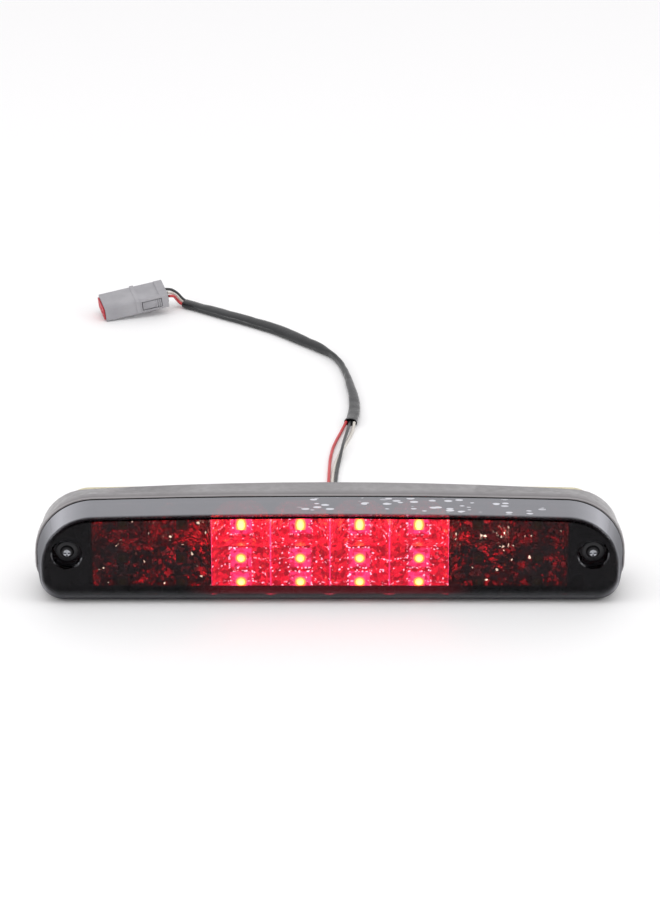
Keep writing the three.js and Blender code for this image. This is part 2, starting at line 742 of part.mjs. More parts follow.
let shell = bar(0, plugLength, half, 0, plugHeight, plugChamfer)
  .add(bar(bridgeX + 1, bridgeX + 4, half + 0.6, 0.8, plugHeight + 0.7, plugChamfer))
  .add(bar(0, latchBack + 0.9, half - 1.2, 1, plugHeight + 1, plugChamfer))
  .add(box(railStart, railEnd, -railInner - railWidth, -railInner, -railHeight, 0.5))
  .subtract(box(bridgeX, plugLength + 1, -coreHalf, coreHalf, coreLow, coreHigh))
  .subtract(box(-1, pocketDepth, -pocketHalf, pocketHalf, pocketLow, pocketHigh))
  .subtract(box(latchBack - 0.6, latchFront + 0.6, latchInner - latchTravel, half + 2,
    latchLow - latchClear, latchHigh + latchClear));
for (const z of [2.9, 7.6]) {
  shell = shell.subtract(box(9, bridgeX - 1, -half - 1, -half + 0.9, z, z + 1.4));
}
for (const y of pinRows) {
  const geometry = new THREE.CylinderGeometry(1.6, 1.6, bridgeX, 12);
  geometry.rotateZ(Math.PI / 2);
  geometry.translate(pocketDepth - 1 + bridgeX / 2, y, wireHoleZ);
  shell = shell.subtract(solidOf(geometry));
}
plug.add(finish('plug_shell', shell, paint(0x8d8f94, 0.55)));

const rearSeal = box(-1, pocketDepth - gap, -pocketHalf + gap, pocketHalf - gap,
  pocketLow + gap, pocketHigh - gap);
plug.add(finish('plug_wire_seal', rearSeal, paint(0x9a9c9f, 0.8)));

// Latch arm, hinged near the middle of the plug, with a ribbed thumb pad at its free end.
let latch = box(latchBack, latchFront, latchInner, latchFace, latchLow, latchHigh);
for (const x of [latchBack, latchBack + 1.6, latchBack + 3.2]) {
  latch = latch.add(box(x, x + 0.8, latchFace - 0.4, latchFace + 0.9, latchLow, latchHigh));
}
plug.add(finish('plug_latch', latch, paint(0x84868b, 0.55)));

// Terminal lock, pushed in from the mouth, with the three terminals in its slots.
const terminalHalf = 1.7;
const terminalSheet = 0.8;
const slotHalf = terminalHalf + gap;
const slotRise = terminalSheet / 2 + 0.7;
let lock = box(bridgeX + 0.8, plugLength + gap + 0.1, -coreHalf + gap, coreHalf - gap,
  coreLow + gap, coreHigh - gap)
  .add(bar(plugLength + gap, plugLength + 1.3, coreHalf + 1, coreLow - 0.9, coreHigh + 0.9, 0.8));
for (const y of pinRows) {
  lock = lock.subtract(box(bridgeX, plugLength + 2, y - slotHalf, y + slotHalf,
    wireHoleZ - slotRise, wireHoleZ + slotRise));
}
plug.add(finish('plug_terminal_lock', lock, paint(0xb5323f, 0.5)));
pinRows.forEach((y, i) => {
  const terminal = box(bridgeX + 2, plugLength - 3, y - terminalHalf, y + terminalHalf,
    wireHoleZ - terminalSheet / 2, wireHoleZ + terminalSheet / 2);
  plug.add(finish(`terminal_${i + 1}`, terminal, paint(0xc8a24a, 0.3, 1)));
});

export default lamp;
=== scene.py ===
import math
import random

import bmesh
import bpy
from mathutils import Matrix, Vector


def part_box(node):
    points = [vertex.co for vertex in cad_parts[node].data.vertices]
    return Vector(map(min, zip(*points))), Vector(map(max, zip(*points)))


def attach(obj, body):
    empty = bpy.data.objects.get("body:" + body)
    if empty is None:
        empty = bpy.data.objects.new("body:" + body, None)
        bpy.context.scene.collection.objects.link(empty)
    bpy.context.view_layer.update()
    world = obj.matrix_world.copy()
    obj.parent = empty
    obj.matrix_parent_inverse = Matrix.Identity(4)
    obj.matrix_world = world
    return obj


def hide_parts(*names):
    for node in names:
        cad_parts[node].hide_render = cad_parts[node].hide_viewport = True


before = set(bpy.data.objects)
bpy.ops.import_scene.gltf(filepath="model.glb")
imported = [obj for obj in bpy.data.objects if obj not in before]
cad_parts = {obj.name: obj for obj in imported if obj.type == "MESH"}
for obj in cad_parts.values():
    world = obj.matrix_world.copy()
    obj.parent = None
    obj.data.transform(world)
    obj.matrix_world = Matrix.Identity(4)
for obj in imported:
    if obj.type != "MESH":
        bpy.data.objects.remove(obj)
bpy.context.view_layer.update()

MM = 0.001  # sizes are in millimetres where they are multiplied by this, and in metres elsewhere
scene = bpy.context.scene

# ---------- camera and lights ----------
# The lamp lies on a white table under soft studio light; the camera looks down on it a little.
PITCH = 25.51  # degrees below the horizon
camera = bpy.data.objects.new("camera", bpy.data.cameras.new("camera"))
camera.data.sensor_width = 36
camera.data.lens = 145.7
camera.location = (0, -2.149, 1.124)
camera.rotation_euler = (math.radians(90 - PITCH), 0, 0)
scene.collection.objects.link(camera)
scene.camera = camera
scene.view_settings.view_transform = "Standard"


def softbox(name, place, aim, width, depth, watts):
    light = bpy.data.lights.new(name, "AREA")
    light.shape = "RECTANGLE"
    light.size = width
    light.size_y = depth
    light.energy = watts
    holder = bpy.data.objects.new(name, light)
    holder.location = place
    holder.rotation_euler = (Vector(aim) - Vector(place)).to_track_quat("-Z", "Y").to_euler()
    scene.collection.objects.link(holder)


softbox("overhead_box", (0, -0.5, 2.4), (0, 0.1, 0), 2.6, 1.6, 15)
softbox("left_box", (-2.2, -0.6, 1.1), (0, 0, 0.03), 1.0, 1.4, 10)
softbox("right_box", (2.2, -0.6, 1.1), (0, 0, 0.03), 1.0, 1.4, 10)

# ---------- table and studio ----------
# Matt white table top that runs on under the whole scene, in a bright studio whose back wall is a
# little brighter than its front, without an edge between them.
TABLE_SIDE = 4
TABLE_BACK = 6
FRONT_WALL = 0.7  # brightness beside the back wall's 1


class Tone:
    """One shader socket: operators add Math nodes, and add() makes any other node."""

    def __init__(self, tree, socket):
        self.tree = tree
        self.socket = socket

    def add(self, kind, settings, sockets, out=0):
        node = self.tree.nodes.new(kind)
        for key, value in settings.items():
            setattr(node, key, value)
        for key, value in sockets.items():
            if isinstance(value, Tone):
                self.tree.links.new(value.socket, node.inputs[key])
            else:
                node.inputs[key].default_value = value
        return Tone(self.tree, node.outputs[out])

    def maths(self, operation, *others):
        """A Math node on this and the others."""
        return self.add("ShaderNodeMath", {"operation": operation}, dict(enumerate((self, *others))))

    def __add__(self, other):
        return self.maths("ADD", other)

    def __sub__(self, other):
        return self.maths("SUBTRACT", other)

    def __rsub__(self, other):
        return self.add("ShaderNodeMath", {"operation": "SUBTRACT"}, {0: other, 1: self})

    def __mul__(self, other):
        return self.maths("MULTIPLY", other)

    def __truediv__(self, other):
        return self.maths("DIVIDE", other)

    __radd__ = __add__
    __rmul__ = __mul__

    def ramp(self, low, high, start=0.0, end=1.0):
        """Smoothly from start at low to end at high, and flat beyond."""
        return self.add("ShaderNodeMapRange", {"interpolation_type": "SMOOTHSTEP"},
                        {"Value": self, "From Min": low, "From Max": high,
                         "To Min": start, "To Max": end})

    def noise(self, size, detail=3.0):
        """Cloudy 0 to 1 pattern over a place, its patches about size metres across."""
        return self.add("ShaderNodeTexNoise", {}, {
            "Vector": self, "Scale": 1 / size, "Detail": detail})

    def cells(self, size, out="Distance"):
        """Cells about size metres across: the distance to their middles, or a colour for each."""
        return self.add("ShaderNodeTexVoronoi", {}, {"Vector": self, "Scale": 1 / size}, out)

    def part(self, axis):
        """X, Y or Z of a place."""
        return self.add("ShaderNodeSeparateXYZ", {}, {0: self}, axis)

    def blend(self, first, second):
        """first where this is 0, second where it is 1."""
        return self.add("ShaderNodeMix", {"data_type": "RGBA"}, {0: self, 6: first, 7: second}, 2)

    def bump(self, height, strength=0.3):
        """Normal from this as a relief, whose full height is in metres."""
        return self.add("ShaderNodeBump", {}, {
            "Height": self, "Distance": height, "Strength": strength})


def rgb(red, green, blue):
    return (red, green, blue, 1.0)


def material(name, fixed, varied=None):
    """Principled material: fixed socket values, and what varies worked out from the place."""
    made = bpy.data.materials.new(name)
    made.use_nodes = True
    tree = made.node_tree
    shader = tree.nodes["Principled BSDF"]
    for key, value in fixed.items():
        shader.inputs[key].default_value = value
    if varied:
        place = Tone(tree, tree.nodes.new("ShaderNodeTexCoord").outputs["Object"])
        for key, tone in varied(place).items():
            tree.links.new(tone.socket, shader.inputs[key])
    return made


world = bpy.data.worlds.new("studio")
world.use_nodes = True
background = world.node_tree.nodes["Background"]
background.inputs["Color"].default_value = rgb(1, 0.99, 1)
scene.world = world
walls = Tone(world.node_tree, world.node_tree.nodes.new("ShaderNodeTexCoord").outputs["Generated"])
brightness = walls.part(1).ramp(-0.7, 0.9, FRONT_WALL, 1.0)
world.node_tree.links.new(brightness.socket, background.inputs["Strength"])

table_top = bpy.data.meshes.new("table")
table_top.from_pydata([(-TABLE_SIDE, -TABLE_SIDE, 0), (TABLE_SIDE, -TABLE_SIDE, 0),
                       (TABLE_SIDE, TABLE_BACK, 0), (-TABLE_SIDE, TABLE_BACK, 0)], [], [(0, 1, 2, 3)])
table_top.materials.append(material("white_table", {"Base Color": rgb(0.95, 0.95, 0.95), "Roughness": 0.7}))
floor = bpy.data.objects.new("table", table_top)
scene.collection.objects.link(floor)

# ---------- wires ----------
# Three thin insulated wires, red, white and black: bare between the grommet and the sleeve,
# where they drop behind the lamp, and again for a short way in front of the plug.
WIRE = 2.2
WIRE_Z = 1.25
SLEEVE_Z = 3.25
START_GAP = 0.12  # of a wire's drawn part from its near end in the grommet
LAMP_STEPS = 110
PLUG_STEPS = 46
exit_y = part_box("wire_red_lamp_end")[0].y / MM + START_GAP
# from the grommet down to the table: how far back, and how high
DROP = [(0, 22), (7, 21.2), (15, 18.6), (25, 13.8), (36, 8.8), (48, 5), (60, 2.8),
        (72, WIRE_Z + 0.4), (84, WIRE_Z)]
# X at the grommet, points on the table, points that rise into the sleeve, length in metres
LAMP_WIRES = {
    "red": (-2.7, [(-2.4, 122), (-1.2, 146), (-0.6, 168), (0.2, 188), (2, 206), (4.9, 221),
                   (8.2, 235)], [(10.7, 243.4, 2.6), (11.6, 247, SLEEVE_Z)], 0.225),
    "white": (0, [(0.4, 122), (1.4, 146), (2.4, 168), (4.2, 184), (6.8, 197), (9.9, 210),
                  (13.2, 222)], [(15.9, 234, WIRE_Z), (17.2, 242.4, 2.4), (17.6, 246, SLEEVE_Z)],
              0.224),
    "black": (2.7, [(3, 122), (3.9, 146), (5, 168)],
              [(6.8, 186, 1.9), (8.2, 198, 3.2), (9.6, 210, 3.7), (11.2, 222, 3.6), (13, 235, 3.4),
               (14.6, 246.5, SLEEVE_Z)], 0.2235),
}
INSIDE = [(-99, 456.5), (-106, 461.2)]  # where the wires start in the end of the sleeve
# points from the sleeve to the plug's seal, length in metres
PLUG_WIRES = {
    "red": ([(-115.2, 463.9, 3.25), (-117.8, 465, 4.6), (-120, 462.4, 8.6), (-121.6, 457.6, 12.6),
             (-125.1, 454.3, 14.2)], 0.0382),
    "white": ([(-113.7, 466.5, 3.25), (-116.5, 467.6, 4.8), (-119.4, 465.9, 9.2),
               (-122.6, 461.8, 13.4), (-126.6, 459.4, 14.9)], 0.0385),
    "black": ([(-112, 469, 3.25), (-115.2, 470.8, 5), (-119.2, 470.1, 9.8), (-123.6, 466.8, 14.2),
               (-128.1, 464.6, 15.6)], 0.0411),
}
WIRE_COLOURS = {"red": rgb(0.62, 0.045, 0.05), "white": rgb(0.72, 0.68, 0.62),
                "black": rgb(0.035, 0.038, 0.04)}
SHADE = 0.72  # of the colour, where the insulation is soiled


def curved(points, count):
    """count points on a smooth centripetal curve through the given ones, ends included."""
    knots = [Vector(p) for p in points]
    knots = [2 * knots[0] - knots[1]] + knots + [2 * knots[-1] - knots[-2]]
    spans = len(points) - 1
    made = []
    for i in range(count):
        at = i / (count - 1) * spans
        span = min(int(at), spans - 1)
        p = knots[span:span + 4]
        t = [0.0]
        for a, b in zip(p, p[1:]):
            t.append(t[-1] + max((b - a).length, 1e-6) ** 0.5)
        u = t[1] + (at - span) * (t[2] - t[1])
        a = [p[k] * ((t[k + 1] - u) / (t[k + 1] - t[k])) + p[k + 1] * ((u - t[k]) / (t[k + 1] - t[k]))
             for k in range(3)]
        b = [a[k] * ((t[k + 2] - u) / (t[k + 2] - t[k])) + a[k + 1] * ((u - t[k]) / (t[k + 2] - t[k]))
             for k in range(2)]
        made.append(b[0] * ((t[2] - u) / (t[2] - t[1])) + b[1] * ((u - t[1]) / (t[2] - t[1])))
    return made


def insulation(name):
    def varied(place):
        mottle = place.noise(0.012, 4)
        red, green, blue, _ = WIRE_COLOURS[name]
        tint = mottle.blend(WIRE_COLOURS[name], rgb(red * SHADE, green * SHADE, blue * SHADE))
        return {"Base Color": tint, "Roughness": mottle.ramp(0.3, 0.7, 0.3, 0.46),
                "Normal": place.noise(0.0011, 2).bump(0.00008, 0.35)}
    return material(f"insulation_{name}", {"Coat Weight": 0.15, "Coat Roughness": 0.2}, varied)


insulations = {name: insulation(name) for name in WIRE_COLOURS}


def wire(colour, end, points):
    line = bpy.data.curves.new(f"{colour}_wire_{end}", "CURVE")
    line.dimensions = "3D"
    line.bevel_depth = WIRE / 2 * MM
    line.bevel_resolution = 5
    line.use_fill_caps = True
    spline = line.splines.new("POLY")
    spline.points.add(len(points) - 1)
    for knot, point in zip(spline.points, points):
        knot.co = (*(point * MM), 1)
    spline.use_smooth = True
    made = bpy.data.objects.new(line.name, line)
    scene.collection.objects.link(made)
    line.materials.append(insulations[colour])
    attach(made, "root")
    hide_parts(f"wire_{colour}_{end}_end")
    return made


for colour, (exit_x, floor_points, mouth, length) in LAMP_WIRES.items():
    reach = floor_points[0][1] - exit_y
    hidden = [(exit_x + (floor_points[0][0] - exit_x) * back / reach, exit_y + back, z)
              for back, z in DROP]
    route = curved(hidden + [(x, y, WIRE_Z) for x, y in floor_points] + mouth, LAMP_STEPS)
    wire(colour, "lamp", route)
    route[0] * MM

plug_wires = {}
for colour, (points, length) in PLUG_WIRES.items():
    route = curved([(x, y, SLEEVE_Z) for x, y in INSIDE] + points, PLUG_STEPS)
    plug_wires[colour] = (wire(colour, "plug", route), route, length)

# ---------- sleeve ----------
# Soft charcoal vinyl tube over the three wires. It has been pressed flat in its packing, stands
# on edge where it turns over, and its cut mouth gapes round the wires.
SLEEVE_ROUTE = [
    (15, 247), (17, 260), (18, 277), (17.2, 296), (15, 314), (12.4, 332), (8.5, 350), (2, 366),
    (-8, 380), (-21, 394), (-38, 412), (-58, 428), (-78, 442), (-96, 454.5), (-113, 466),
]
SLEEVE_WALL = 0.6
# share of the way along, width, height and roll in degrees
SLEEVE_SHAPE = [
    (0.0, 9.6, 6.0, 0), (0.05, 8.8, 5.2, 4), (0.16, 8.0, 4.2, -8), (0.28, 6.4, 4.4, -20),
    (0.38, 4.4, 5.0, -30), (0.45, 3.2, 5.6, -10), (0.50, 3.6, 6.2, 12), (0.58, 7.6, 6.0, 22),
    (0.72, 9.8, 5.6, 14), (0.86, 10.0, 5.6, 8), (1.0, 9.2, 5.8, 0),
]
SLEEVE_SIDES = 40
SLEEVE_STEPS = 150
DENTS = 46
DENT_LONG = 0.012  # share of the sleeve's length
DENT_WIDE = 0.3  # share of the way round
TABLE_GAP = 0.06


def mesh_of(name, points, faces):
    """Closed mesh from points in millimetres, its normals outward."""
    mesh = bpy.data.meshes.new(name)
    mesh.from_pydata([Vector(p) * MM for p in points], [], faces)
    shape = bmesh.new()
    shape.from_mesh(mesh)
    bmesh.ops.recalc_face_normals(shape, faces=shape.faces)
    shape.to_mesh(mesh)
    shape.free()
    return mesh


def piece(name, mesh, finish, nodes, body="root", smooth=35):
    """Finished piece: shaded smooth up to an angle, with its material and body, in place of its nodes."""
    made = bpy.data.objects.new(name, mesh)
    scene.collection.objects.link(made)
    mesh.materials.clear()
    mesh.materials.append(finish)
    mesh.polygons.foreach_set("use_smooth", [True] * len(mesh.polygons))
    mesh.set_sharp_from_angle(angle=math.radians(smooth))
    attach(made, body)
    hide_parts(*nodes)
    return made


def eased(table, at):
    """Row of a table of (share, values...) at a share of the way, smoothly between rows."""
    for row, after in zip(table, table[1:]):
        if at <= after[0]:
            t = (at - row[0]) / (after[0] - row[0])
            t = t * t * (3 - 2 * t)
            return [a + (b - a) * t for a, b in zip(row[1:], after[1:])]
    return table[-1][1:]


def flattened(angle, width, height, dent):
    """Across and up of a point on the sleeve's outline, a little squarer than an ellipse."""
    across = math.copysign(abs(math.cos(angle)) ** 0.85, math.cos(angle)) * (width / 2 - dent)
    up = math.copysign(abs(math.sin(angle)) ** 0.9, math.sin(angle)) * (height / 2 - dent * 0.6)
    return across, up


def inside(ring, middle):
    return [p + (middle - p).normalized() * SLEEVE_WALL for p in ring]


def sleeve_mesh():
    random.seed(5)
    line = curved([(x, y, 0) for x, y in SLEEVE_ROUTE], SLEEVE_STEPS)
    dents = [(random.random(), random.uniform(0, 6.28), random.uniform(0.15, 0.5)) for _ in range(DENTS)]
    rings, path = [], []
    for i, spot in enumerate(line):
        at = i / (SLEEVE_STEPS - 1)
        along = (line[min(i + 1, SLEEVE_STEPS - 1)] - line[max(i - 1, 0)]).normalized()
        side = Vector((along.y, -along.x, 0))
        width, height, roll = eased(SLEEVE_SHAPE, at)
        turn = math.radians(roll)
        ring = []
        for k in range(SLEEVE_SIDES):
            angle = 2 * math.pi * k / SLEEVE_SIDES
            dent = sum(deep * math.exp(-((at - where) / DENT_LONG) ** 2
                                       - (math.sin((angle - way) / 2) / DENT_WIDE) ** 2)
                       for where, way, deep in dents)
            across, up = flattened(angle, width, height, dent)
            ring.append((across * math.cos(turn) - up * math.sin(turn),
                         across * math.sin(turn) + up * math.cos(turn)))
        low = min(up for _, up in ring)
        rings.append([spot + side * across + Vector((0, 0, up - low + TABLE_GAP)) for across, up in ring])
        path.append(spot + Vector((0, 0, TABLE_GAP - low)))
    mouth = [inside(rings[k], path[k]) for k in (9, 6, 3, 0)]
    tail = [inside(rings[k], path[k]) for k in (-1, -4, -7)]
    loops = mouth + rings + tail
    faces = [(r * SLEEVE_SIDES + k, r * SLEEVE_SIDES + (k + 1) % SLEEVE_SIDES,
              (r + 1) * SLEEVE_SIDES + (k + 1) % SLEEVE_SIDES, (r + 1) * SLEEVE_SIDES + k)
             for r in range(len(loops) - 1) for k in range(SLEEVE_SIDES)]
    last = (len(loops) - 1) * SLEEVE_SIDES
    faces += [tuple(range(SLEEVE_SIDES)), tuple(last + k for k in range(SLEEVE_SIDES))]
    return mesh_of("sleeve", [p for loop in loops for p in loop], faces), path


def vinyl(place):
    film = place.noise(0.02, 5)
    return {"Base Color": film.blend(rgb(0.006, 0.007, 0.008), rgb(0.016, 0.018, 0.02)),
            "Roughness": film.ramp(0.3, 0.7, 0.18, 0.34),
            "Normal": (place.noise(0.006, 4) + place.noise(0.0012, 2) * 0.25).bump(0.0005, 0.5)}


sleeve_shape, sleeve_path = sleeve_mesh()
black_vinyl = material("vinyl", {"Coat Weight": 0.15, "Coat Roughness": 0.16}, vinyl)
sleeve = piece("sleeve", sleeve_shape, black_vinyl, ["harness_sleeve"], smooth=60)
sleeve_path[0] * MM
[p * MM for p in sleeve_path]

# ---------- plug ----------
# Grey moulded three-way connector with a latch arm on its near side, a red terminal lock in its
# mouth and a soft seal round the wires at its back.
JOINED = 2e-6  # corners this close are one, in metres
FLAT_ANGLE = 0.6  # faces this flat to each other are merged, in degrees
SHARP_ANGLE = 30  # edges sharper than this are rounded, in degrees


def rounded(node, bevel):
    """Copy of a CAD node's mesh with its sharp edges rounded by bevel millimetres."""
    shape = bmesh.new()
    shape.from_mesh(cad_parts[node].data)
    bmesh.ops.remove_doubles(shape, verts=shape.verts, dist=JOINED)
    bmesh.ops.dissolve_limit(shape, angle_limit=math.radians(FLAT_ANGLE), verts=shape.verts,
                             edges=shape.edges)
    sharp = [e for e in shape.edges
             if len(e.link_faces) == 2 and e.calc_face_angle() > math.radians(SHARP_ANGLE)]
    bmesh.ops.bevel(shape, geom=sharp, offset=bevel * MM, segments=2, profile=0.5,
                    affect="EDGES", clamp_overlap=True)
    bmesh.ops.recalc_face_normals(shape, faces=shape.faces)
    mesh = bpy.data.meshes.new(node)
    shape.to_mesh(mesh)
    shape.free()
    return mesh


def tuned(node, finish):
    """The CAD node itself, with a better material in each of its slots."""
    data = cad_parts[node].data
    if not data.materials:
        data.materials.append(finish)
    for i in range(len(data.materials)):
        data.materials[i] = finish


def moulded(dark, light, rough):
    """Fine-grained moulded plastic or rubber between two shades."""
    def varied(place):
        cloud = place.noise(0.018, 5)
        grain = place.noise(0.0009, 2)
        return {"Base Color": cloud.ramp(0.3, 0.7).blend(dark, light),
                "Roughness": place.noise(0.004, 4).ramp(0.3, 0.7, rough - 0.06, rough + 0.1),
                "Normal": grain.bump(0.00006, 0.45)}
    return varied


grey_nylon = material("grey_nylon", {}, moulded(rgb(0.31, 0.305, 0.325), rgb(0.39, 0.385, 0.405), 0.42))
red_nylon = material("red_nylon", {}, moulded(rgb(0.46, 0.02, 0.035), rgb(0.58, 0.035, 0.05), 0.4))
silicone = material("silicone", {}, moulded(rgb(0.22, 0.22, 0.225), rgb(0.28, 0.28, 0.28), 0.6))
brass = material("tinned_brass", {"Metallic": 1.0},
                 moulded(rgb(0.62, 0.48, 0.24), rgb(0.78, 0.64, 0.36), 0.28))
plug = piece("plug_shell_moulding", rounded("plug_shell", 0.35), grey_nylon,
             ["plug_shell"])
latch = piece("plug_latch_arm", rounded("plug_latch", 0.22), grey_nylon,
              ["plug_latch"], body="latch")
lock = piece("plug_lock", rounded("plug_terminal_lock", 0.2), red_nylon,
             ["plug_terminal_lock"])
terminals = ["terminal_1", "terminal_2", "terminal_3"]
for node in terminals:
    tuned(node, brass)
tuned("plug_wire_seal", silicone)
for made, route, length in plug_wires.values():
    route[0] * MM

# ---------- lens ----------
# One deep moulding of smoked clear polycarbonate, open at the back, with a well near each end
# that lets a long screw seat inside the lamp's outline.
lens_low, lens_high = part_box("lens")
HALF = lens_high.x / MM
TOP = lens_high.z / MM
FACE_Y = lens_low.y / MM
LENS_DEPTH = (lens_high.y - lens_low.y) / MM
LENS_WALL = 2.4
SIDE_TAPER = 4
TOP_TAPER = 2.6
FRONT_ROUND = 2.5
CHIN_ROUND = 11
SHOULDER = 40
HEEL = 18
ARCH = 5000
WELL_RADIUS = 9.5
WELL_DEPTH = 6.5
WELL_WALL = 1.6
WELL_FLOOR = 2
WELL_CHAMFER = (-0.4, 1.0, 9.4, 10.8)  # front and back depth, back and front radius
SCREW_HOLE = 3.0  # radius
screw_low, screw_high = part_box("mounting_screw_right")
WELL_X = (screw_low.x + screw_high.x) / 2 / MM
WELL_Z = (screw_low.z + screw_high.z) / 2 / MM


def outline(half, top, bottom, shoulder, heel):
    """X and Z of the lamp's outline: flat foot, round heels and shoulders, flat arch on top."""
    centre = top - ARCH
    shoulder_x = half - shoulder
    shoulder_z = centre + math.sqrt((ARCH - shoulder) ** 2 - shoulder_x ** 2)
    turn = math.atan2(shoulder_z - centre, shoulder_x)
    arcs = [(half - heel, bottom + heel, heel, -math.pi / 2, 0, 14, 15),
            (shoulder_x, shoulder_z, shoulder, 0, turn, 26, 26),
            (0, centre, ARCH, turn, math.pi - turn, 40, 40),
            (-shoulder_x, shoulder_z, shoulder, math.pi - turn, math.pi, 26, 27),
            (heel - half, bottom + heel, heel, math.pi, math.pi * 1.5, 14, 15)]
    return [(x + r * math.cos(a + (b - a) * i / steps), z + r * math.sin(a + (b - a) * i / steps))
            for x, z, r, a, b, steps, count in arcs for i in range(count)]


def loft(name, sections):
    """Closed mesh through outlines, each at its own depth behind the lens face."""
    rings = [[(x, FACE_Y + depth, z) for x, z in outline(**size)] for depth, size in sections]
    count = len(rings[0])
    faces = [(r * count + k, r * count + (k + 1) % count, (r + 1) * count + (k + 1) % count,
              (r + 1) * count + k) for r in range(len(rings) - 1) for k in range(count)]
    last = (len(rings) - 1) * count
    faces += [tuple(range(count)), tuple(last + k for k in range(count))]
    return mesh_of(name, [p for ring in rings for p in ring], faces)


def drum(x, z, front, back, radius, front_radius=None):
    """Round bar or cone along the depth."""
    sides = 72
    rings = [(front, front_radius or radius), (back, radius)]
    points = [(x + r * math.cos(2 * math.pi * k / sides), FACE_Y + depth,
               z + r * math.sin(2 * math.pi * k / sides)) for depth, r in rings for k in range(sides)]
    faces = [(k, (k + 1) % sides, sides + (k + 1) % sides, sides + k) for k in range(sides)]
    faces += [tuple(range(sides)), tuple(range(sides, 2 * sides))]
    return mesh_of("drum", points, faces)


def combined(mesh, steps):
    """mesh after adding or cutting the given meshes, in turn."""
    holder = bpy.data.objects.new("work", mesh)
    tools = []
    scene.collection.objects.link(holder)
    for operation, tool_mesh in steps:
        tool = bpy.data.objects.new("tool", tool_mesh)
        scene.collection.objects.link(tool)
        tools.append(tool)
        step = holder.modifiers.new("step", "BOOLEAN")
        step.operation = operation
        step.solver = "EXACT"
        step.object = tool
    made = bpy.data.meshes.new_from_object(
        holder.evaluated_get(bpy.context.evaluated_depsgraph_get()))
    for spent in [holder] + tools:
        bpy.data.objects.remove(spent)
    return made


def drawn_in(depth, radius):
    """How far a front edge of this radius has turned in at a depth."""
    return 0 if depth >= radius else radius - math.sqrt(radius ** 2 - (radius - depth) ** 2)


def lens_section(depth, wall=0.0, inset=0.0):
    """Sizes of the lens's outline at a depth behind its face, outside or a wall further in."""
    forward = 1 - depth / LENS_DEPTH
    front, chin = drawn_in(depth, FRONT_ROUND), drawn_in(depth, CHIN_ROUND)
    side = SIDE_TAPER * forward + front + inset
    return {"half": HALF - side - wall,
            "top": TOP - TOP_TAPER * forward - front - wall - inset,
            "bottom": chin + wall + inset,
            "shoulder": SHOULDER - side - wall,
            "heel": HEEL - side * 0.6 - chin * 0.35 - wall}


def lens_mesh():
    fronts = [0, 0.05, 0.2, 0.45, 0.85, 1.3, 1.8, 2.5, 3.3, 4.2, 5.2, 6.4, 7.8, 9.4, CHIN_ROUND, 17,
              LENS_DEPTH]
    shell = loft("lens", [(0, lens_section(0, inset=0.5))] + [(d, lens_section(d)) for d in fronts])
    backs = [LENS_WALL, 3.4, 4.5, 6, 8, CHIN_ROUND, LENS_DEPTH]
    hollow = loft("hollow", [(d, lens_section(d, LENS_WALL)) for d in backs]
                  + [(LENS_DEPTH + 1, lens_section(LENS_DEPTH, LENS_WALL))])
    steps = [("DIFFERENCE", hollow)]
    for side in (-1, 1):
        x = side * WELL_X
        steps += [("UNION", drum(x, WELL_Z, LENS_WALL / 2, WELL_DEPTH + WELL_FLOOR,
                                 WELL_RADIUS + WELL_WALL)),
                  ("DIFFERENCE", drum(x, WELL_Z, -1, WELL_DEPTH, WELL_RADIUS)),
                  ("DIFFERENCE", drum(x, WELL_Z, *WELL_CHAMFER)),
                  ("DIFFERENCE", drum(x, WELL_Z, WELL_DEPTH - 1.5, WELL_DEPTH + WELL_FLOOR + 1,
                                      SCREW_HOLE))]
    return combined(shell, steps)


HIGHLIGHT_SPOT_SPACING = 0.0033  # metres between the painted highlight spots


def painted_highlights(place):
    """Painted highlights: spots on the upper wall turned to full mirror, standing in for the studio lamps'
    reflections; 1 on a spot.
    """
    x, y, z = (place.part(axis) for axis in range(3))
    stretched = place.add("ShaderNodeVectorMath", {"operation": "MULTIPLY"}, {0: place, 1: (0.42, 1, 0)})
    dots = stretched.cells(HIGHLIGHT_SPOT_SPACING).ramp(0.44, 0.30)
    chosen = stretched.cells(HIGHLIGHT_SPOT_SPACING, "Color").part(0).ramp(0.3, 0.6)
    along = x.ramp(-0.05, -0.01) * x.ramp(0.165, 0.125)
    back = y - FACE_Y * MM
    between = back.ramp(0.0035, 0.0045) * back.ramp(0.0225, 0.0215)
    return dots * chosen * along * between * z.ramp((TOP - 8) * MM, (TOP - 7) * MM)


